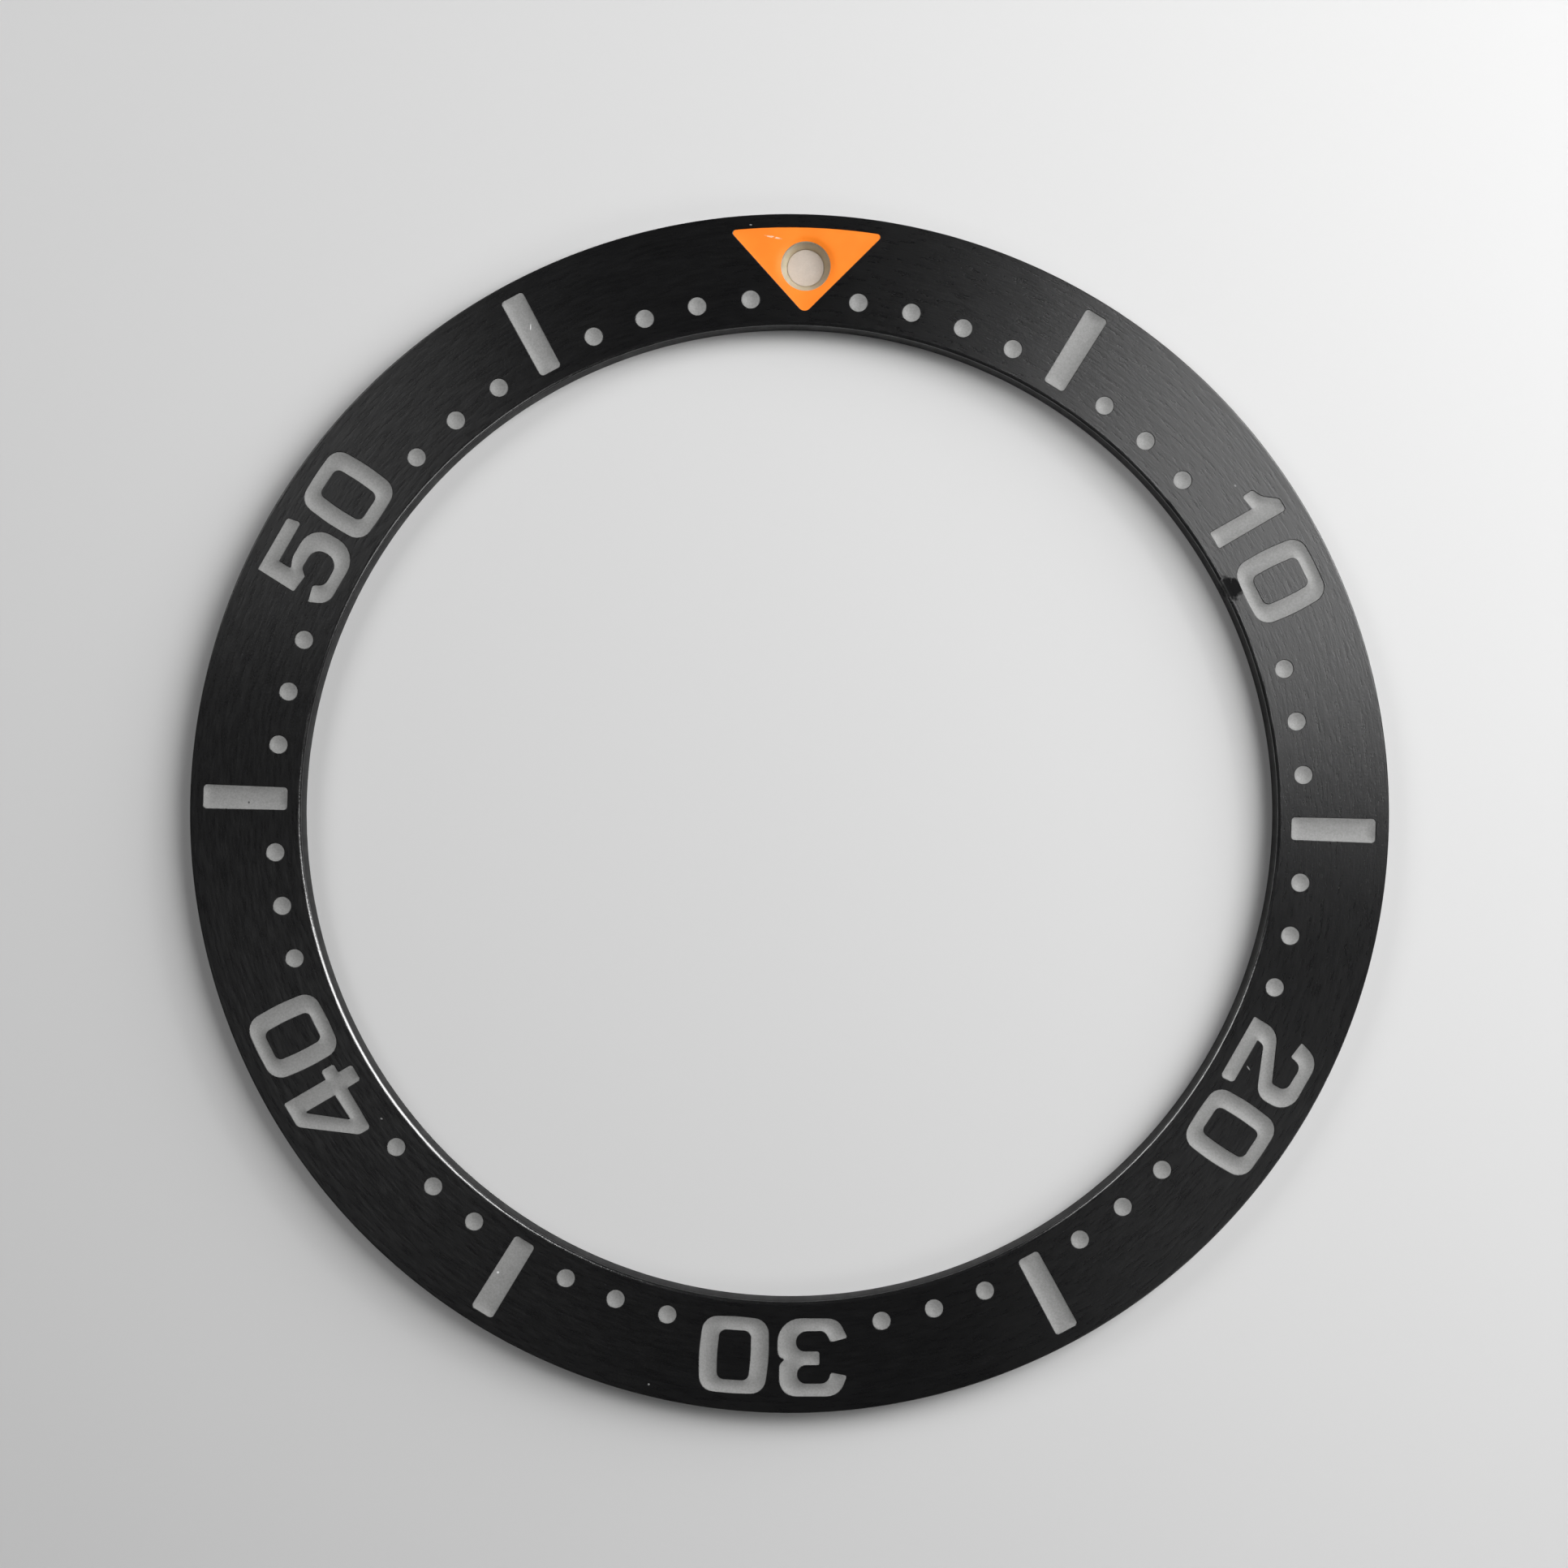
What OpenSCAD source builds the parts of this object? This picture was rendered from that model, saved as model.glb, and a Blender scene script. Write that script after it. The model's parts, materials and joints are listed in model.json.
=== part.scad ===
// Bezel insert of a diver's watch: a flat black ring with sunk minute marks,
// an orange triangle at zero and a luminous pip set in the triangle.
// It lies on its back face, with the zero mark towards +Y and the front towards +Z.

/* [Ring] */
// Outside diameter of the ring
outer_d = 38.0; // [37.8:0.1:40.0]
// Diameter of the opening in the middle
bore_d = 30.9; // [30.0:0.1:31.0]
// Thickness, from the back face to the front face
thickness = 1.0; // [0.8:0.05:1.4]
// Rounding of the front edge around the opening
bore_edge_r = 0.13; // [0.05:0.01:0.15]
// Rounding of the front edge at the rim
rim_edge_r = 0.05; // [0.03:0.01:0.12]
// Rounding of the two back edges
back_edge_r = 0.05; // [0.02:0.01:0.08]

/* [Paint] */
// Depth of the pockets that hold the paint
pocket_depth = 0.10; // [0.06:0.01:0.14]
// How far the paint lies below the front face
paint_sink = 0.02; // [0.01:0.01:0.04]

/* [Minute dots and bars] */
// Diameter of a minute dot
dot_d = 0.57; // [0.40:0.01:0.80]
// Distance of the dots from the middle of the ring
dot_pitch_r = 16.33; // [16.10:0.01:18.00]
// Distance of a bar's inner end from the middle of the ring
bar_inner_r = 15.91; // [15.80:0.01:16.50]
// Distance of a bar's outer end from the middle of the ring
bar_outer_r = 18.57; // [18.00:0.01:18.70]
// Width of a bar at its inner end
bar_inner_w = 0.71; // [0.50:0.01:0.90]
// Width of a bar at its outer end
bar_outer_w = 0.76; // [0.50:0.01:0.90]
// Rounding of a bar's corners
bar_corner_r = 0.12; // [0.05:0.01:0.20]

/* [Numerals] */
// Height of a digit
digit_h = 2.46; // [2.20:0.02:2.50]
// Distance of the digits' centres from the middle of the ring
digit_centre_r = 17.19; // [17.15:0.01:17.30]
// Lean of each digit towards its neighbour's other side, in degrees
digit_lean = 2; // [0:0.5:4]
// Distance of a digit's centre from the numeral's centre line
digit_offset = 1.25; // [1.22:0.01:1.35]

/* [Triangle and pip] */
// Distance of the triangle's sharp tip from the middle of the ring
tip_r = 15.84; // [15.75:0.01:16.20]
// Distance of the triangle's curved top from the middle of the ring
triangle_top_r = 18.57; // [18.45:0.01:18.70]
// Half of the angle that the triangle's top spans, in degrees
triangle_half_angle = 7.57; // [7.3:0.01:8.0]
// Rounding of the triangle's tip
tip_round_r = 0.22; // [0.10:0.01:0.30]
// Rounding of the triangle's two top corners
triangle_corner_r = 0.10; // [0.05:0.01:0.20]
// Diameter of the pip and of its hole
pip_d = 1.58; // [1.30:0.02:1.60]
// Distance of the pip from the middle of the ring
pip_centre_r = 17.36; // [17.25:0.01:17.45]
// Diameter of the luminous disc at the bottom of the pip's dish
lume_d = 1.17; // [0.90:0.01:1.20]
// Depth of the luminous disc's surface below the front face
lume_depth = 0.42; // [0.30:0.01:0.50]
// Thickness of the luminous disc
lume_t = 0.12; // [0.08:0.01:0.15]
// Height of the pip's underside above the back face
pip_clear = 0.10; // [0.05:0.01:0.12]

/* [Hidden] */
$fn = 96;
outer_r = outer_d / 2;
bore_r = bore_d / 2;
pip_r = pip_d / 2;
lume_r = lume_d / 2;
pocket_floor = thickness - pocket_depth;
paint_t = pocket_depth - paint_sink;
lume_top = thickness - lume_depth;
// Width of the pip's rim around the mouth of its dish
pip_rim_w = 0.03;
// How far a cutting solid runs past the face that it cuts
over = 0.5;
// Largest angle that one straight step of a rounding covers, in degrees
arc_step = 15;
// Longest straight step of a rounding
longest_step = 0.2;
// Angle between two points along the triangle's curved top, in degrees
top_step = 1.5;
// Degrees of the dial for each minute
minute_angle = 6;

bar_minutes = [5 : 10 : 55];
numeral_minutes = [10 : 10 : 50];
// A dot marks every minute that has no bar, no numeral and no numeral next to it
dot_minutes = [for (m = [1 : 59]) if (m % 5 != 0 && !beside_numeral(m)) m];

function beside_numeral(m) = m > 5 && m < 55 && (m % 10 == 1 || m % 10 == 9);
function node_name(prefix, m) = str(prefix, m < 10 ? "0" : "", m);

// Outlines of the digits. Each corner is [x, y, rounding], in millimetres, on a
// digit 2.46 mm high with its centre at the origin. The 0 and the 4 have a
// second outline, for the opening inside the digit.
drawn_h = 2.46;
zero_outline = [
    [0, 1.22, 7], [1.03, 1.18, 0.5], [1.11, 0, 6], [1.03, -1.18, 0.5],
    [0, -1.23, 7], [-1.03, -1.18, 0.5], [-1.11, 0, 6], [-1.03, 1.18, 0.5]
];
zero_opening = [
    [0.50, 0.79, 0.22], [0.54, 0, 6], [0.50, -0.79, 0.22],
    [-0.50, -0.79, 0.22], [-0.54, 0, 6], [-0.50, 0.79, 0.22]
];
one_outline = [
    [0.52, 1.20, 0.10], [0.52, -1.24, 0.06], [-0.06, -1.24, 0.06], [-0.04, 0.30, 0.04],
    [-0.53, 0.22, 0.08], [-0.55, 0.60, 0.12], [-0.24, 0.74, 0.5], [0.12, 1.20, 0.15]
];
two_outline = [
    [-1.09, -1.24, 0.05], [-1.06, -0.38, 0.6], [0.49, 0.29, 0.12], [0.49, 0.80, 0.25],
    [-0.47, 0.83, 0.3], [-0.54, 0.40, 0.06], [-1.10, 0.48, 0.05], [-0.87, 1.23, 0.6],
    [1.08, 1.23, 0.6], [1.06, 0.06, 0.5], [-0.45, -0.55, 0.2], [-0.50, -0.79, 0.04],
    [1.06, -0.79, 0.12], [1.09, -1.24, 0.12]
];
three_outline = [
    [-1.11, -0.61, 0.06], [-0.82, -1.22, 0.5], [1.10, -1.24, 0.75], [1.10, -0.03, 0.26],
    [0.88, 0.06, 0.04], [1.05, 0.24, 0.2], [1.07, 1.24, 0.55], [-0.84, 1.25, 0.6],
    [-1.09, 0.59, 0.06], [-0.58, 0.49, 0.08], [-0.49, 0.84, 0.3], [0.50, 0.84, 0.28],
    [0.48, 0.25, 0.28], [-0.22, 0.25, 0.06], [-0.22, -0.18, 0.08], [0.52, -0.18, 0.28],
    [0.52, -0.82, 0.34], [-0.41, -0.83, 0.25], [-0.59, -0.47, 0.12]
];
four_outline = [
    [0.86, 1.23, 0.04], [0.86, -0.30, 0.04], [1.17, -0.31, 0.08], [1.17, -0.75, 0.08],
    [0.86, -0.75, 0.04], [0.86, -1.24, 0.08], [0.31, -1.24, 0.08], [0.30, -0.75, 0.05],
    [-1.17, -0.75, 0.12], [-1.17, -0.33, 0.25], [0.01, 1.23, 0.2]
];
four_opening = [[0.30, 0.83, 0.04], [0.30, -0.31, 0.05], [-0.64, -0.35, 0.04]];
five_outline = [
    [-1.00, 1.24, 0.05], [0.87, 1.23, 0.10], [0.95, 0.79, 0.08], [-0.46, 0.79, 0.04],
    [-0.47, 0.34, 0.04], [-0.12, 0.48, 0.5], [1.09, 0.46, 0.7], [1.06, -1.26, 0.75],
    [-0.86, -1.24, 0.5], [-1.12, -0.65, 0.05], [-0.59, -0.52, 0.10], [-0.42, -0.86, 0.3],
    [0.50, -0.86, 0.4], [0.50, 0.03, 0.4], [-0.27, 0.05, 0.2], [-0.47, -0.16, 0.03],
    [-1.06, -0.09, 0.05]
];
digit_outlines = [zero_outline, one_outline, two_outline, three_outline, four_outline, five_outline];
// How far a tens digit, from 0 to 5, stands off its usual place, towards the 0 beside it
tens_shifts = [0, -0.25, 0.02, 0.01, -0.08, 0.04];
// The narrow 1 also draws its 0 towards the centre line
zero_after_one_shift = -0.36;

// Points of the corner p between its neighbours a and b, rounded to radius r
function corner(a, p, b, r) =
    r == 0 ? [p] :
    let (
        u = (a - p) / norm(a - p),
        v = (b - p) / norm(b - p),
        half = acos(u * v) / 2,
        centre = p + (u + v) / norm(u + v) * r / sin(half),
        start = p + u * r / tan(half) - centre,
        end = p + v * r / tan(half) - centre,
        turn = atan2(cross(start, end), start * end),
        length = r * abs(turn) * PI / 180,
        steps = ceil(max(abs(turn) / arc_step, length / longest_step)),
        first = atan2(start.y, start.x)
    )
    [for (i = [0 : steps]) centre + r * direction(first + turn * i / steps)];

function direction(angle) = [cos(angle), sin(angle)];
function place(p) = [p.x, p.y];

// A closed outline of [x, y, rounding] corners, with every rounding drawn in
function rounded(points) =
    let (n = len(points))
    [for (i = [0 : n - 1])
        each corner(place(points[(i + n - 1) % n]), place(points[i]),
            place(points[(i + 1) % n]), points[i].z)];

// A point of the triangle's curved top, at an angle from the zero mark
function top_point(angle, rounding) =
    [triangle_top_r * sin(angle), triangle_top_r * cos(angle), rounding];

// Carries a shape drawn at the zero mark round to a minute
module at_minute(m) {
    rotate([0, 0, -m * minute_angle]) children();
}

// Cuts a pocket of the paint's outline into the front face
module pocket() {
    translate([0, 0, pocket_floor]) linear_extrude(pocket_depth + over) children();
}

// Fills a pocket with paint up to a little below the front face
module paint() {
    translate([0, 0, pocket_floor]) linear_extrude(paint_t) children();
}

module dot_outline() {
    translate([0, dot_pitch_r]) circle(d = dot_d);
}

module bar_outline() {
    polygon(rounded([
        [-bar_inner_w / 2, bar_inner_r, bar_corner_r],
        [bar_inner_w / 2, bar_inner_r, bar_corner_r],
        [bar_outer_w / 2, bar_outer_r, bar_corner_r],
        [-bar_outer_w / 2, bar_outer_r, bar_corner_r]
    ]));
}

module digit_outline(digit) {
    scale(digit_h / drawn_h) difference() {
        polygon(rounded(digit_outlines[digit]));
        if (digit == 0) polygon(rounded(zero_opening));
        if (digit == 4) polygon(rounded(four_opening));
    }
}

// Two digits side by side, with their feet towards the middle of the ring
module numeral_outline(m) {
    tens = m / 10;
    units_shift = tens == 1 ? zero_after_one_shift : 0;
    translate([tens_shifts[tens] - digit_offset, digit_centre_r]) rotate(digit_lean) digit_outline(tens);
    translate([units_shift + digit_offset, digit_centre_r]) rotate(-digit_lean) digit_outline(0);
}

module triangle_outline() {
    top_inside = triangle_half_angle - top_step;
    polygon(rounded(concat(
        [[0, tip_r, tip_round_r]],
        [top_point(triangle_half_angle, triangle_corner_r)],
        [for (a = [top_inside : -top_step : -top_inside]) top_point(a, 0)],
        [top_point(-triangle_half_angle, triangle_corner_r)]
    )));
}

module ring_blank() {
    rotate_extrude() polygon(rounded([
        [bore_r, 0, back_edge_r],
        [outer_r, 0, back_edge_r],
        [outer_r, thickness, rim_edge_r],
        [bore_r, thickness, bore_edge_r]
    ]));
}

module insert_ring() {
    color("#1c1c1e") difference() {
        ring_blank();
        for (m = dot_minutes) at_minute(m) pocket() dot_outline();
        for (m = bar_minutes) at_minute(m) pocket() bar_outline();
        for (m = numeral_minutes) at_minute(m) pocket() numeral_outline(m);
        pocket() triangle_outline();
        translate([0, pip_centre_r, -over]) cylinder(r = pip_r, h = thickness + 2 * over);
    }
}

module minute_dot(m) {
    color("#b4b4b4") at_minute(m) paint() dot_outline();
}

module minute_bar(m) {
    color("#b4b4b4") at_minute(m) paint() bar_outline();
}

module numeral(m) {
    color("#b4b4b4") at_minute(m) paint() numeral_outline(m);
}

module zero_triangle() {
    color("#ff8c2a") difference() {
        paint() triangle_outline();
        translate([0, pip_centre_r, 0]) cylinder(r = pip_r, h = thickness + over);
    }
}

// A small cup pressed into the triangle's hole, with a conical dish in its front
module pip_cup() {
    dish_mouth_r = pip_r - pip_rim_w;
    color("#b2a584") translate([0, pip_centre_r, 0]) difference() {
        translate([0, 0, pip_clear]) cylinder(r = pip_r, h = pocket_floor - pip_clear);
        translate([0, 0, lume_top]) cylinder(r1 = lume_r, r2 = dish_mouth_r, h = pocket_floor - lume_top);
        translate([0, 0, lume_top - lume_t]) cylinder(r = lume_r, h = lume_t);
    }
}

module pip_lume() {
    color("#ccc3ba") translate([0, pip_centre_r, lume_top - lume_t]) cylinder(r = lume_r, h = lume_t);
}

insert_ring();
for (m = dot_minutes) minute_dot(m);
for (m = bar_minutes) minute_bar(m);
for (m = numeral_minutes) numeral(m);
zero_triangle();
pip_cup();
pip_lume();
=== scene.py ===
import json
import math

import bmesh
import bpy
import numpy as np
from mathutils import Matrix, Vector
from mathutils.geometry import delaunay_2d_cdt


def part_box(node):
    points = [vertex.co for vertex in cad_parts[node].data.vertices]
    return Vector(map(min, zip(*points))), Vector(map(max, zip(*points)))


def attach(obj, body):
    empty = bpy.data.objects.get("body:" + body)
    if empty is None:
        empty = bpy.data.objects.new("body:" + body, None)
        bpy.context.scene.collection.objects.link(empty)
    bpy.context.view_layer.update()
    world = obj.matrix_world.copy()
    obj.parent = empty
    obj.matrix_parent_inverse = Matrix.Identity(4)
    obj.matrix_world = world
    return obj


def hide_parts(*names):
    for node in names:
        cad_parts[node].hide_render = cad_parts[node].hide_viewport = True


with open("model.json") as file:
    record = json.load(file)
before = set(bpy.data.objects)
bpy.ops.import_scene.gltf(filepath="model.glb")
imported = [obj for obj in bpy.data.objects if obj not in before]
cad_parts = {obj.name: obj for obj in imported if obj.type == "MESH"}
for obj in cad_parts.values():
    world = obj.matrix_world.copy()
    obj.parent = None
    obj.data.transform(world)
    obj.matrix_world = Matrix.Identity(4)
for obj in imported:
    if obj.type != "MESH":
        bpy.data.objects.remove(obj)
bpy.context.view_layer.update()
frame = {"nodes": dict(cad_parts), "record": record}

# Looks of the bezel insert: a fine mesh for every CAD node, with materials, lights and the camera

# Lengths in the mesh code are millimetres, and to_object() turns them into metres.
MM = 0.001
PI = math.pi

# ---------------------------------------------------------------- sizes from the frame


def box_mm(node):
    low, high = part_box(node)
    return np.array(low) / MM, np.array(high) / MM


_, ring_high = box_mm("insert_ring")
OUTER_R = ring_high[1]
FACE_Z = ring_high[2]
POCKET_Z = box_mm("minute_bar_05")[0][2]

record_mounts = {mount["name"]: mount for mount in frame["record"]["mounts"]}
BORE_R = record_mounts["inner_bore"]["dims"]["r_mm"]

cup_low, cup_high = box_mm("pip_cup")
lume_low, lume_high = box_mm("pip_lume")
PIP_CENTRE = (cup_low[:2] + cup_high[:2]) / 2
PIP_R = (cup_high[1] - cup_low[1]) / 2
LUME_R = (lume_high[1] - lume_low[1]) / 2

# Roundings of the ring's four edges
BORE_EDGE_R = 0.13
RIM_EDGE_R = 0.05
BACK_EDGE_R = 0.05

# A pocket's lip curves down from the face over LIP_W to the edge of the paint, LIP_DROP lower
LIP_W = 0.018
LIP_DROP = 0.022
LIP_STEPS = 5

# Steps round the ring and over its rounded edges
RING_POINTS = 720
BORE_EDGE_STEPS = 10
RIM_EDGE_STEPS = 8
BACK_EDGE_STEPS = 4

# Points around the pip's cup and its lume
PIP_POINTS = 128

# Points nearer to each other than this are one point
WELD = 2e-4

# ---------------------------------------------------------------- outlines


def circle(centre, radius, count):
    """Points of a circle, anticlockwise."""
    angles = np.arange(count) * 2 * PI / count
    return np.stack([centre[0] + radius * np.cos(angles), centre[1] + radius * np.sin(angles)], 1)


def signed_area(loop):
    x, y = loop[:, 0], loop[:, 1]
    return 0.5 * float(np.sum(x * np.roll(y, -1) - y * np.roll(x, -1)))


def top_outlines(node):
    """The edges of a CAD node's flat top, in mm: outer loops anticlockwise, openings clockwise."""
    mesh = frame["nodes"][node].data
    mesh.calc_loop_triangles()
    points = np.array([vertex.co for vertex in mesh.vertices]) / MM
    top = points[:, 2].max()
    tolerance = 1e-3
    keys = {}
    ids = [keys.setdefault(tuple(np.round(p, 4)), len(keys)) for p in points]
    place = {ids[i]: points[i, :2] for i in range(len(points))}
    follows = {}
    for triangle in mesh.loop_triangles:
        corners = list(triangle.vertices)
        if min(points[corners, 2]) < top - tolerance:
            continue
        a, b, c = (ids[i] for i in corners)
        for start, end in ((a, b), (b, c), (c, a)):
            if (end, start) in follows:
                del follows[(end, start)]
            else:
                follows[(start, end)] = True
    after = {start: end for start, end in follows}
    loops = []
    while after:
        start = next(iter(after))
        chain = []
        here = start
        while here in after:
            chain.append(place[here])
            here = after.pop(here)
        loops.append(np.array(chain))
    return loops


def split_long(loop, longest):
    """The same loop, with points added so that no step is longer than longest."""
    tolerance = 1e-6
    points = []
    for i in range(len(loop)):
        a, b = loop[i], loop[(i + 1) % len(loop)]
        steps = max(1, math.ceil(np.linalg.norm(b - a) / longest - tolerance))
        points += [a + (b - a) * k / steps for k in range(steps)]
    return np.array(points)


def grown(loop, distance):
    """The loop moved sideways, away from the paint inside it, by a small distance."""
    before = np.roll(loop, 1, 0)
    after = np.roll(loop, -1, 0)
    arriving = (loop - before) / np.linalg.norm(loop - before, axis=1)[:, None]
    leaving = (after - loop) / np.linalg.norm(after - loop, axis=1)[:, None]
    # Right of the direction of travel is outside, for outer loops and openings alike
    right_before = np.stack([arriving[:, 1], -arriving[:, 0]], 1)
    right_after = np.stack([leaving[:, 1], -leaving[:, 0]], 1)
    side = right_before + right_after
    side /= np.sum(side * right_before, 1)[:, None]
    return loop + side * distance


def inside(points, loops):
    """Whether each point lies within the loops, by the even-odd rule."""
    odd = np.zeros(len(points), bool)
    for loop in loops:
        for a, b in zip(loop, np.roll(loop, -1, 0)):
            if a[1] == b[1]:
                continue
            spans = (a[1] > points[:, 1]) != (b[1] > points[:, 1])
            crossing = a[0] + (points[:, 1] - a[1]) * (b[0] - a[0]) / (b[1] - a[1])
            odd ^= spans & (points[:, 0] < crossing)
    return odd


def distance_to(points, loops):
    """Distance from each point to the nearest edge of the loops."""
    starts = np.concatenate(loops)
    ends = np.concatenate([np.roll(loop, -1, 0) for loop in loops])
    along = ends - starts
    lengths = np.sum(along * along, 1)
    nearest = np.empty(len(points))
    at_once = 2000
    for first in range(0, len(points), at_once):
        chunk = points[first:first + at_once]
        offset = chunk[:, None] - starts[None]
        t = np.clip(np.sum(offset * along, 2) / lengths, 0, 1)
        gap = offset - t[..., None] * along
        nearest[first:first + at_once] = np.sqrt(np.min(np.sum(gap * gap, 2), 1))
    return nearest


def triangulate(loops, extra):
    """Triangles that fill the loops and use the extra points too: (points, triangles)."""
    coords = []
    edges = []
    for loop in loops:
        first = len(coords)
        coords += [Vector(p) for p in loop]
        edges += [(first + i, first + (i + 1) % len(loop)) for i in range(len(loop))]
    coords += [Vector(p) for p in extra]
    same_point = 1e-7
    points, made_edges, triangles, _, edge_sources, _ = delaunay_2d_cdt(coords, edges, [], 0, same_point)
    walls = {frozenset(edge) for edge, source in zip(made_edges, edge_sources) if source}
    beside = {}
    for index, corners in enumerate(triangles):
        for k in range(3):
            beside.setdefault(frozenset((corners[k], corners[k - 1])), []).append(index)
    # Walk in from the rim of the triangulation. Crossing a loop changes outside to inside and back
    within = {}
    waiting = [(found[0], edge in walls) for edge, found in beside.items() if len(found) == 1]
    while waiting:
        index, state = waiting.pop()
        if index in within:
            continue
        within[index] = state
        corners = triangles[index]
        for k in range(3):
            edge = frozenset((corners[k], corners[k - 1]))
            waiting += [(other, state != (edge in walls)) for other in beside[edge] if other not in within]
    kept = [triangles[index] for index, state in within.items() if state]
    return np.array([tuple(p) for p in points]), np.array(kept)


# ---------------------------------------------------------------- meshes


def add_surface(bm, points, triangles, heights, flip=False):
    """A surface over a plane triangulation."""
    verts = [bm.verts.new((p[0], p[1], z)) for p, z in zip(points, heights)]
    for a, b, c in triangles:
        corners = (verts[a], verts[b], verts[c])
        bm.faces.new(corners[::-1] if flip else corners)


def add_strip(bm, lower, upper):
    """Faces between two closed rows of points with the same count."""
    rows = [[bm.verts.new(p) for p in row] for row in (lower, upper)]
    count = len(rows[0])
    for i in range(count):
        j = (i + 1) % count
        bm.faces.new((rows[0][i], rows[0][j], rows[1][j], rows[1][i]))


def lifted(loop, z):
    return [(p[0], p[1], z) for p in loop]


def add_rows(bm, rows):
    for lower, upper in zip(rows, rows[1:]):
        add_strip(bm, lower, upper)


def to_object(bm, name, material, sharp_angle=40):
    """Joins a bmesh in mm into one closed piece in metres."""
    bmesh.ops.remove_doubles(bm, verts=bm.verts, dist=WELD)
    loose = [v for v in bm.verts if not v.link_faces]
    bmesh.ops.delete(bm, geom=loose, context="VERTS")
    bmesh.ops.recalc_face_normals(bm, faces=bm.faces)
    bmesh.ops.scale(bm, vec=(MM, MM, MM), verts=bm.verts)
    mesh = bpy.data.meshes.new(name)
    bm.to_mesh(mesh)
    bm.free()
    mesh.set_sharp_from_angle(angle=math.radians(sharp_angle))
    # Level faces stay flat, so that the edges beside them don't shade them
    level_normal = 0.99999
    curved = [abs(face.normal.z) < level_normal for face in mesh.polygons]
    mesh.polygons.foreach_set("use_smooth", curved)
    mesh.materials.append(material)
    piece = bpy.data.objects.new(name, mesh)
    bpy.context.scene.collection.objects.link(piece)
    return piece


def stand_for(piece, node):
    """The piece rides on the part's one body, in place of a CAD node."""
    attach(piece, "root")
    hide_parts(node)


def smoothed(heights, triangles, fixed, rounds):
    """Heights averaged with their neighbours again and again, except the first, fixed ones."""
    sides = np.concatenate([triangles[:, [0, 1]], triangles[:, [1, 2]], triangles[:, [2, 0]]])
    start, end = np.unique(np.concatenate([sides, sides[:, ::-1]]), axis=0).T
    neighbours = np.bincount(start, minlength=len(heights))
    for _ in range(rounds):
        average = np.bincount(start, heights[end], len(heights)) / np.maximum(neighbours, 1)
        heights = np.concatenate([heights[:fixed], average[fixed:]])
    return heights


def paint_mesh(name, loops, material, height, spacing):
    """A fill of paint. Its top follows height(points), smoothed, and it is closed below."""
    # Grid points stay this share of the spacing away from the edges
    clearance = 0.6
    smoothing_rounds = 8
    low = np.concatenate(loops).min(0)
    high = np.concatenate(loops).max(0)
    row_step = spacing * math.sqrt(3) / 2
    grid = []
    for row, y in enumerate(np.arange(low[1], high[1], row_step)):
        shift = spacing / 2 * (row % 2)
        grid += [(x + shift, y) for x in np.arange(low[0], high[0], spacing)]
    grid = np.array(grid)
    grid = grid[inside(grid, loops)]
    grid = grid[distance_to(grid, loops) > clearance * spacing]
    points, triangles = triangulate(loops, grid)
    edge_points = sum(len(loop) for loop in loops)
    heights = smoothed(height(points), triangles, edge_points, smoothing_rounds)
    bm = bmesh.new()
    add_surface(bm, points, triangles, heights)
    for loop in loops:
        add_strip(bm, lifted(loop, POCKET_Z), [(p[0], p[1], z) for p, z in zip(loop, height(loop))])
    points, triangles = triangulate(loops, [])
    add_surface(bm, points, triangles, np.full(len(points), POCKET_Z), flip=True)
    return to_object(bm, name, material)


def dished(loops, width, drop):
    """The height of a fill that sinks from its edges by drop over width."""

    def height(points):
        nearness = 1 - np.minimum(distance_to(points, loops) / width, 1)
        return FACE_Z - LIP_DROP - drop * (1 - nearness ** 2)

    return height


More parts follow.
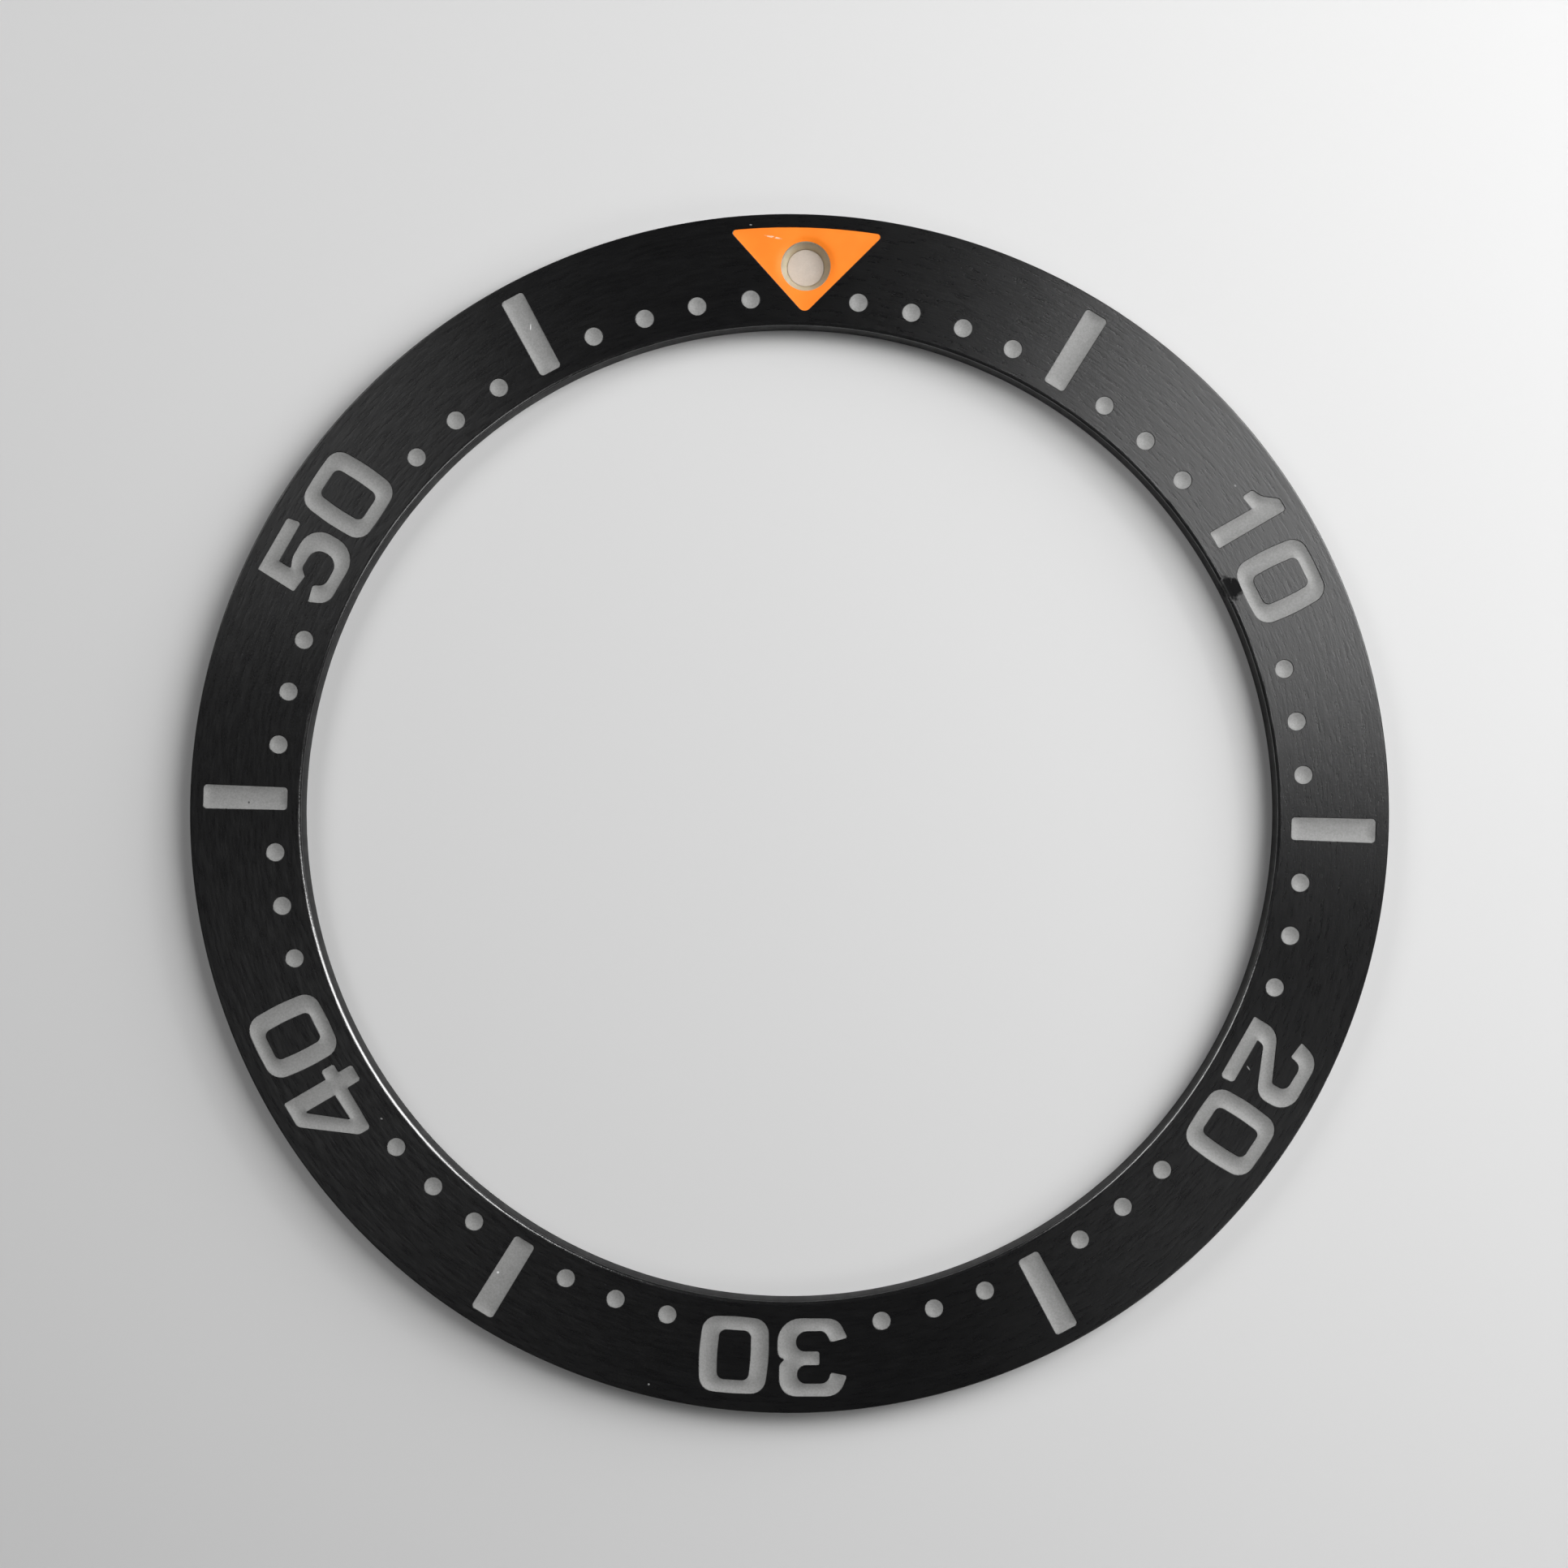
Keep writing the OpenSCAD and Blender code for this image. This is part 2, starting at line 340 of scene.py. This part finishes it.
def ring_mesh(name, pockets, material):
    """The ring, with a lipped pocket for every mark and the pip's hole through it."""
    bm = bmesh.new()
    middle = (0.0, 0.0)

    def ring_row(radius, z):
        return lifted(circle(middle, radius, RING_POINTS), z)

    def rounding(radius, z, size, start, end, steps):
        """Rows along a quarter circle about the point at radius and z."""
        angles = np.radians(np.linspace(start, end, steps + 1))
        return [ring_row(radius + size * math.cos(a), z + size * math.sin(a)) for a in angles]

    # Outer and inner walls with their rounded edges
    face_outer_r = OUTER_R - RIM_EDGE_R
    face_inner_r = BORE_R + BORE_EDGE_R
    back_outer_r = OUTER_R - BACK_EDGE_R
    back_inner_r = BORE_R + BACK_EDGE_R
    outer = rounding(back_outer_r, BACK_EDGE_R, BACK_EDGE_R, -90, 0, BACK_EDGE_STEPS)
    outer += rounding(face_outer_r, FACE_Z - RIM_EDGE_R, RIM_EDGE_R, 0, 90, RIM_EDGE_STEPS)
    add_rows(bm, outer)
    inner = rounding(face_inner_r, FACE_Z - BORE_EDGE_R, BORE_EDGE_R, 90, 180, BORE_EDGE_STEPS)
    inner += rounding(back_inner_r, BACK_EDGE_R, BACK_EDGE_R, 180, 270, BACK_EDGE_STEPS)
    add_rows(bm, inner)

    # Lips, walls and floors of the pockets, and the walls of the holes in them
    mouths = []
    holes = []
    for loops, hole in pockets:
        for loop in loops:
            rows = [lifted(loop, POCKET_Z)]
            for k in range(LIP_STEPS + 1):
                turn = PI / 2 * k / LIP_STEPS
                outward = LIP_W * (1 - math.cos(turn))
                height = FACE_Z - LIP_DROP * (1 - math.sin(turn))
                rows.append(lifted(grown(loop, outward), height))
            add_rows(bm, rows)
            mouths.append(grown(loop, LIP_W))
        floor = loops + ([hole[::-1]] if hole is not None else [])
        points, triangles = triangulate(floor, [])
        add_surface(bm, points, triangles, np.full(len(points), POCKET_Z))
        if hole is not None:
            add_strip(bm, lifted(hole, 0.0), lifted(hole, POCKET_Z))
            holes.append(hole)

    # Front and back faces
    face_edges = [circle(middle, radius, RING_POINTS) for radius in (face_outer_r, face_inner_r)]
    points, triangles = triangulate(face_edges + mouths, [])
    add_surface(bm, points, triangles, np.full(len(points), FACE_Z))
    back_edges = [circle(middle, radius, RING_POINTS) for radius in (back_outer_r, back_inner_r)]
    points, triangles = triangulate(back_edges + holes, [])
    add_surface(bm, points, triangles, np.zeros(len(points)), flip=True)
    return to_object(bm, name, material, sharp_angle=50)


def turned_mesh(name, centre, profile, material):
    """A solid of revolution about a vertical axis.

    The profile is a list of (radius, z) that starts and ends on the axis.
    """
    bm = bmesh.new()
    rows = [lifted(circle(centre, radius, PIP_POINTS), z) for radius, z in profile[1:-1]]
    add_rows(bm, rows)
    for (_, z), row in ((profile[0], rows[0]), (profile[-1], rows[-1])):
        tip = bm.verts.new((centre[0], centre[1], z))
        edge = [bm.verts.new(p) for p in row]
        for i in range(PIP_POINTS):
            bm.faces.new((tip, edge[i], edge[(i + 1) % PIP_POINTS]))
    return to_object(bm, name, material)


# ---------------------------------------------------------------- materials


class Tree:
    """Short calls for building a material's nodes."""

    def __init__(self, name):
        self.material = bpy.data.materials.new(name)
        self.material.use_nodes = True
        self.nodes = self.material.node_tree.nodes
        self.links = self.material.node_tree.links
        self.shader = self.nodes["Principled BSDF"]

    def put(self, value, socket):
        if hasattr(value, "is_output"):
            self.links.new(value, socket)
        else:
            socket.default_value = value

    def set(self, **values):
        """Sets the shader's sockets; Base_Color=... means the socket called Base Color."""
        for name, value in values.items():
            self.put(value, self.shader.inputs[name.replace("_", " ")])

    def math(self, operation, a, b=0.0):
        node = self.nodes.new("ShaderNodeMath")
        node.operation = operation
        self.put(a, node.inputs[0])
        self.put(b, node.inputs[1])
        return node.outputs[0]

    def place_mm(self):
        """The point on the piece, in mm."""
        node = self.nodes.new("ShaderNodeTexCoord")
        return self.scaled(node.outputs["Object"], 1 / MM)

    def scaled(self, vector, factor):
        node = self.nodes.new("ShaderNodeVectorMath")
        node.operation = "SCALE"
        self.put(vector, node.inputs[0])
        node.inputs["Scale"].default_value = factor
        return node.outputs[0]

    def split(self, vector):
        node = self.nodes.new("ShaderNodeSeparateXYZ")
        self.put(vector, node.inputs[0])
        return node.outputs[0], node.outputs[1], node.outputs[2]

    def join(self, x, y, z):
        node = self.nodes.new("ShaderNodeCombineXYZ")
        for value, socket in zip((x, y, z), node.inputs):
            self.put(value, socket)
        return node.outputs[0]

    def noise(self, vector, scale, detail=2.0, roughness=0.5):
        node = self.nodes.new("ShaderNodeTexNoise")
        self.put(vector, node.inputs["Vector"])
        node.inputs["Scale"].default_value = scale
        node.inputs["Detail"].default_value = detail
        node.inputs["Roughness"].default_value = roughness
        return node.outputs["Fac"]

    def ramp(self, value, low, high, to_low=0.0, to_high=1.0):
        """value from low..high to to_low..to_high, clamped."""
        node = self.nodes.new("ShaderNodeMapRange")
        self.put(value, node.inputs["Value"])
        ends = {"From Min": low, "From Max": high, "To Min": to_low, "To Max": to_high}
        for name, number in ends.items():
            node.inputs[name].default_value = number
        return node.outputs["Result"]

    def mix(self, factor, a, b):
        node = self.nodes.new("ShaderNodeMix")
        node.data_type = "RGBA"
        self.put(factor, node.inputs["Factor"])
        self.put(a, node.inputs["A"])
        self.put(b, node.inputs["B"])
        return node.outputs["Result"]

    def spread(self, noise, low, high):
        """Stretches a noise, which mostly lies between 0.3 and 0.7, over low..high."""
        return self.ramp(noise, 0.3, 0.7, low, high)

    def blend(self, noise, a, b):
        """Goes from colour a to colour b with a noise."""
        return self.mix(self.ramp(noise, 0.35, 0.65), a, b)

    def length(self, vector):
        node = self.nodes.new("ShaderNodeVectorMath")
        node.operation = "LENGTH"
        self.put(vector, node.inputs[0])
        return node.outputs["Value"]

    def spot(self, place, minute, across, radial, length, width, turn=0.0, ragged=0.0):
        """1 inside an ellipse on the face and 0 outside it, with a soft edge.

        Its middle is across mm clockwise of the minute's line and radial mm from the ring's centre. Its
        length points clockwise and is turned by turn degrees. ragged makes the edge uneven.
        """
        clock = math.radians(6 * minute)
        node = self.nodes.new("ShaderNodeMapping")
        node.vector_type = "TEXTURE"
        self.put(place, node.inputs["Vector"])
        node.inputs["Location"].default_value = (
            radial * math.sin(clock) + across * math.cos(clock),
            radial * math.cos(clock) - across * math.sin(clock),
            FACE_Z,
        )
        node.inputs["Rotation"].default_value = (0, 0, math.radians(turn) - clock)
        node.inputs["Scale"].default_value = (length / 2, width / 2, 1.0)
        away = self.length(node.outputs[0])
        if ragged:
            uneven = self.spread(self.noise(place, 9.0, 2.0), -ragged, ragged)
            away = self.math("ADD", away, uneven)
        # The edge fades from the ellipse at 0.8 of its size to the one at 1.25
        return self.ramp(away, 1.25, 0.8)

    def spots(self, place, rows):
        """The union of several spots."""
        total = self.spot(place, *rows[0])
        for row in rows[1:]:
            total = self.math("MAXIMUM", total, self.spot(place, *row))
        return total

    def bump(self, height, depth_mm):
        node = self.nodes.new("ShaderNodeBump")
        node.inputs["Strength"].default_value = 1.0
        node.inputs["Distance"].default_value = depth_mm * MM
        self.put(height, node.inputs["Height"])
        self.put(node.outputs[0], self.shader.inputs["Normal"])


def grey(level):
    return (level, level, level, 1.0)


# Small marks of use: minute, mm clockwise of it, mm from the centre, length, width, turn, raggedness
DUST = [
    (10, -2.45, 17.35, 0.08, 0.05, 20),
    (20, -0.78, 16.60, 0.15, 0.04, 65),
    (40, -2.38, 15.96, 0.07, 0.05, 40),
    (0, -1.78, 18.60, 0.08, 0.04, 0),
    (32, 0.05, 18.62, 0.06, 0.06, 0),
]
PAINT_PITS = [(45, -0.156, 17.14, 0.07, 0.06)]
PAINT_SCUFFS = [(35, 0.22, 17.23, 0.07, 0.07), (55, 0.086, 17.47, 0.18, 0.035, 60)]
DARK_BLOT = [(10, 0.33, 15.66, 0.80, 0.40, 0, 0.20), (10, 0.38, 15.86, 0.52, 0.34, 0, 0.20)]
SCRATCH = (0, -1.06, 18.24, 0.50, 0.055, -10)


def black_anodised():
    """Black anodised aluminium with turning marks that run round the ring, and a little wear."""
    t = Tree("black_anodised")
    place = t.place_mm()
    x, y, _ = t.split(place)
    radius = t.math("SQRT", t.math("ADD", t.math("MULTIPLY", x, x), t.math("MULTIPLY", y, y)))
    # Across the grooves the pattern changes fast, and along them slowly
    along_x = t.math("DIVIDE", x, radius)
    along_y = t.math("DIVIDE", y, radius)

    def groove(across, along, detail):
        parts = (t.math("MULTIPLY", part, scale) for part, scale in
                 ((radius, across), (along_x, along), (along_y, along)))
        return t.noise(t.join(*parts), 1.0, detail, 0.65)

    fine = groove(10.0, 26.0, 4.0)
    broad = groove(2.5, 9.0, 2.0)
    grain = t.noise(place, 14.0, 3.0, 0.6)
    texture = t.math("ADD", t.math("MULTIPLY", fine, 0.75), t.math("MULTIPLY", grain, 0.25))
    # The polished edge of the opening, and the wall of the opening below it
    edge_r = BORE_R + BORE_EDGE_R
    edge = t.ramp(radius, edge_r + 0.01, edge_r - 0.02)
    wall = t.ramp(radius, BORE_R + 0.03, BORE_R + 0.005)
    blot = t.spots(place, DARK_BLOT)
    dust = t.spots(place, DUST)
    black = t.blend(broad, (0.0028, 0.0028, 0.0031, 1), (0.0045, 0.0045, 0.0048, 1))
    black = t.mix(dust, black, grey(0.20))
    # The edge is smoother than the grooved face, and the wall, the blot and the dust are duller
    rough = t.math("SUBTRACT", t.spread(fine, 0.25, 0.35), t.math("MULTIPLY", edge, 0.10))
    rough = t.math("ADD", rough, t.math("MULTIPLY", wall, 0.26))
    rough = t.math("ADD", rough, t.math("MULTIPLY", t.math("MAXIMUM", blot, dust), 0.45))
    # The edge reflects most, and the wall and the blot least
    gloss = t.math("SUBTRACT", t.ramp(edge, 0.0, 1.0, 0.35, 1.0), t.math("MULTIPLY", wall, 0.87))
    gloss = t.math("MULTIPLY", gloss, t.ramp(blot, 0.0, 1.0, 1.0, 0.2))
    t.set(Base_Color=black, Roughness=rough, Specular_IOR_Level=gloss, IOR=1.70)
    # A quarter turn stretches the highlights across the grooves, which run round the ring
    t.set(Anisotropic=0.74, Anisotropic_Rotation=0.25)
    tangent = t.nodes.new("ShaderNodeTangent")
    tangent.direction_type = "RADIAL"
    tangent.axis = "Z"
    t.put(tangent.outputs[0], t.shader.inputs["Tangent"])
    t.bump(texture, 0.009)
    return t.material


def silver_paint():
    """Silver-grey paint with a fine grain and a few marks of use."""
    t = Tree("silver_paint")
    place = t.place_mm()
    grain = t.noise(place, 15.0, 3.0, 0.65)
    cloud = t.noise(place, 1.4, 2.0)
    speckle = t.spread(grain, -0.035, 0.035)
    shade = t.math("ADD", speckle, t.spread(cloud, 0.236, 0.255))
    plain = t.join(shade, shade, t.math("MULTIPLY", shade, 0.985))
    marked = t.mix(t.spots(place, PAINT_PITS), plain, grey(0.06))
    marked = t.mix(t.spots(place, PAINT_SCUFFS), marked, grey(0.62))
    t.set(Base_Color=marked, Roughness=t.spread(grain, 0.5, 0.6), IOR=1.45)
    t.bump(grain, 0.0020)
    return t.material


def orange_paint():
    """Satin orange paint with one light scratch."""
    t = Tree("orange_paint")
    place = t.place_mm()
    grain = t.noise(place, 16.0, 3.0, 0.6)
    cloud = t.noise(place, 1.1, 2.0)
    colour = t.blend(cloud, (0.97, 0.222, 0.009, 1), (1.0, 0.245, 0.013, 1))
    broken = t.ramp(t.noise(place, 14.0, 2.0), 0.40, 0.52)
    scratch = t.math("MULTIPLY", t.spot(place, *SCRATCH), broken)
    t.set(
        Base_Color=t.mix(scratch, colour, (1.0, 0.58, 0.40, 1)),
        Roughness=t.spread(grain, 0.5, 0.6),
        Specular_IOR_Level=0.3,
    )
    t.bump(grain, 0.0015)
    return t.material


def pip_resin():
    """Greenish-beige resin of the pip's cup, which lets a little light through."""
    t = Tree("pip_resin")
    place = t.place_mm()
    cloud = t.noise(place, 4.0, 3.0)
    grain = t.noise(place, 22.0, 3.0)
    t.set(
        Base_Color=t.blend(cloud, (0.75, 0.56, 0.34, 1), (0.83, 0.63, 0.40, 1)),
        Roughness=t.spread(grain, 0.40, 0.50),
        Subsurface_Weight=1.0,
        Subsurface_Radius=(1.0, 1.0, 1.0),
        Subsurface_Scale=0.0009,
    )
    t.bump(grain, 0.0015)
    return t.material


def lume():
    """Cream luminous compound, matte and finely grained."""
    t = Tree("lume")
    place = t.place_mm()
    grain = t.noise(place, 20.0, 4.0, 0.7)
    cloud = t.noise(place, 3.0, 2.0)
    speckle = t.spread(grain, -0.03, 0.03)
    shade = t.math("ADD", speckle, t.spread(cloud, 0.52, 0.56))
    t.set(
        Base_Color=t.join(shade, t.math("MULTIPLY", shade, 0.89), t.math("MULTIPLY", shade, 0.79)),
        Roughness=t.spread(grain, 0.7, 0.85),
        Specular_IOR_Level=0.3,
        Subsurface_Weight=0.5,
        Subsurface_Radius=(1.0, 1.0, 1.0),
        Subsurface_Scale=0.0003,
    )
    t.bump(grain, 0.002)
    return t.material


def floor_material():
    """Plain pale floor."""
    t = Tree("floor")
    t.set(Base_Color=grey(0.66), Roughness=0.9)
    return t.material


# ---------------------------------------------------------------- the pieces

SILVER = silver_paint()

DOT_POINTS = 64
HOLE_POINTS = 128
OUTLINE_STEP = 0.06
PAINT_SPACING = 0.04

# How far in from its edge a fill is dished, and how deep, in mm
DOT_DISH = (0.30, 0.062)
STROKE_DISH = (0.27, 0.069)
TRIANGLE_DISH = (0.12, 0.010)

pockets = []
for node in sorted(frame["nodes"]):
    if node.startswith("minute_dot_"):
        low, high = box_mm(node)
        radius = float(max(high[:2] - low[:2])) / 2
        loops = [circle((low[:2] + high[:2]) / 2, radius, DOT_POINTS)]
        dish = DOT_DISH
    elif node.startswith(("minute_bar_", "numeral_")):
        loops = [split_long(loop, OUTLINE_STEP) for loop in top_outlines(node)]
        dish = STROKE_DISH
    else:
        continue
    pockets.append((loops, None))
    piece = paint_mesh("paint_" + node, loops, SILVER, dished(loops, *dish), PAINT_SPACING)
    stand_for(piece, node)

# The triangle's paint rolls down over this width into the pip's hole
HOLE_ROLL_W = 0.22
HOLE_ROLL_DROP = 0.043
# The roll is deeper towards the rim and shallower towards the ring's centre, by this share
HOLE_ROLL_LEAN = 0.5
pip_hole = circle(PIP_CENTRE, PIP_R, HOLE_POINTS)
triangle_outline = split_long(max(top_outlines("zero_triangle"), key=signed_area), OUTLINE_STEP)
pockets.append(([triangle_outline], pip_hole))
triangle_dish = dished([triangle_outline], *TRIANGLE_DISH)


def triangle_height(points):
    away = points - PIP_CENTRE
    distance = np.linalg.norm(away, axis=1)
    nearness = 1 - np.clip((distance - PIP_R) / HOLE_ROLL_W, 0, 1)
    drop = HOLE_ROLL_DROP * (1 + HOLE_ROLL_LEAN * away[:, 1] / distance)
    return triangle_dish(points) - drop * nearness ** 2


triangle = paint_mesh(
    "paint_zero_triangle", [triangle_outline, pip_hole[::-1]], orange_paint(), triangle_height, PAINT_SPACING
)
stand_for(triangle, "zero_triangle")

ring = ring_mesh("turned_ring", pockets, black_anodised())
stand_for(ring, "insert_ring")

# The cup has a chamfer underneath, a rounded rim round its mouth, and a dish that is a cone
CUP_CHAMFER = 0.04
CUP_RIM_W = 0.035
MOUTH_R = PIP_R - CUP_RIM_W
cup_bottom, cup_top = cup_low[2], cup_high[2]
lume_bottom, lume_top = lume_low[2], lume_high[2]
cup_profile = [
    (0.0, cup_bottom),
    (PIP_R - CUP_CHAMFER, cup_bottom),
    (PIP_R, cup_bottom + CUP_CHAMFER),
    # Rim
    (PIP_R, cup_top - 0.015),
    (PIP_R - 0.008, cup_top - 0.002),
    (PIP_R - 0.020, cup_top),
    (MOUTH_R, cup_top - 0.012),
    (MOUTH_R - 0.012, cup_top - 0.040),
    # Dish, down to the lume and the seat under it
    (LUME_R + 0.004, lume_top - 0.002),
    (LUME_R, lume_bottom),
    (0.0, lume_bottom),
]
cup = turned_mesh("resin_cup", PIP_CENTRE, cup_profile, pip_resin())
stand_for(cup, "pip_cup")

# The lume has a rounded edge
LUME_EDGE_R = 0.020
LUME_EDGE_STEPS = 6
lume_profile = [(0.0, lume_bottom), (LUME_R, lume_bottom)]
for turn in np.radians(np.linspace(0, 90, LUME_EDGE_STEPS + 1)):
    lume_profile.append(
        (LUME_R - LUME_EDGE_R * (1 - math.cos(turn)), lume_top - LUME_EDGE_R * (1 - math.sin(turn)))
    )
lume_profile += [(LUME_R * share, lume_top) for share in (0.6, 0.3)]
lume_profile.append((0.0, lume_top))
disc = turned_mesh("lume_disc", PIP_CENTRE, lume_profile, lume())
stand_for(disc, "pip_lume")

# ---------------------------------------------------------------- floor, lights and camera

# Metres from the ring's centre to every light
LIGHT_DISTANCE = 0.14

# Soft lights: name, degrees clockwise from the zero mark, degrees above the floor, width, height, watts
LIGHTS = [
    ("key", 57, 50, 0.07, 0.10, 0.165),
    ("low_key", 60, 22, 0.07, 0.07, 0.100),
    ("left", 305, 46, 0.06, 0.06, 0.046),
    ("right", 130, 46, 0.06, 0.06, 0.022),
]

# Brightness of the surroundings as light on the ring, and as the backdrop behind the floor
AMBIENT = 0.04
BACKDROP = 0.56


def add_floor():
    """A round table top, a hair below the ring's back face. Its lengths are in metres."""
    radius = 0.12
    drop = 0.00001
    edge_points = 256
    bm = bmesh.new()
    bm.faces.new([bm.verts.new((x, y, -drop)) for x, y in circle((0.0, 0.0), radius, edge_points)])
    mesh = bpy.data.meshes.new("floor")
    bm.to_mesh(mesh)
    bm.free()
    mesh.materials.append(floor_material())
    floor = bpy.data.objects.new("floor", mesh)
    bpy.context.scene.collection.objects.link(floor)


def add_light(name, clock_angle, elevation, width, height, power):
    """A soft rectangular light that faces the ring."""
    light = bpy.data.lights.new(name, "AREA")
    light.shape = "RECTANGLE"
    light.size = width
    light.size_y = height
    light.energy = power
    lamp = bpy.data.objects.new(name, light)
    turn, lift = math.radians(clock_angle), math.radians(elevation)
    flat = math.cos(lift)
    direction = Vector((math.sin(turn) * flat, math.cos(turn) * flat, math.sin(lift)))
    lamp.location = direction * LIGHT_DISTANCE
    lamp.rotation_euler = direction.to_track_quat("Z", "Y").to_euler()
    bpy.context.scene.collection.objects.link(lamp)


def add_world():
    """A little light from all round the ring, and a pale backdrop behind the floor."""
    world = bpy.data.worlds.new("studio")
    world.use_nodes = True
    nodes, links = world.node_tree.nodes, world.node_tree.links
    rays = nodes.new("ShaderNodeLightPath")
    level = nodes.new("ShaderNodeMapRange")
    level.inputs["To Min"].default_value = AMBIENT
    level.inputs["To Max"].default_value = BACKDROP
    links.new(rays.outputs["Is Camera Ray"], level.inputs["Value"])
    links.new(level.outputs[0], nodes["Background"].inputs["Color"])
    bpy.context.scene.world = world


def add_camera():
    """Looks straight down at the face from close by, with the ring turned a little clockwise.

    The view's width and the offsets are at the face, in mm.
    """
    sensor_w = 36.0
    view_w = 49.66
    distance = 90.0
    roll = math.radians(1.7)
    right_of_middle = -0.174
    above_middle = 0.936
    data = bpy.data.cameras.new("camera")
    data.sensor_width = sensor_w
    data.lens = sensor_w * distance / view_w
    data.clip_start = 0.001
    camera = bpy.data.objects.new("camera", data)
    right = Vector((math.cos(roll), math.sin(roll), 0))
    up = Vector((-math.sin(roll), math.cos(roll), 0))
    above_face = Vector((0, 0, FACE_Z + distance))
    camera.location = (right * right_of_middle + up * above_middle + above_face) * MM
    camera.rotation_euler = (0, 0, roll)
    bpy.context.scene.collection.objects.link(camera)
    bpy.context.scene.camera = camera


add_floor()
add_world()
for light in LIGHTS:
    add_light(*light)
add_camera()
bpy.context.scene.view_settings.view_transform = "Standard"
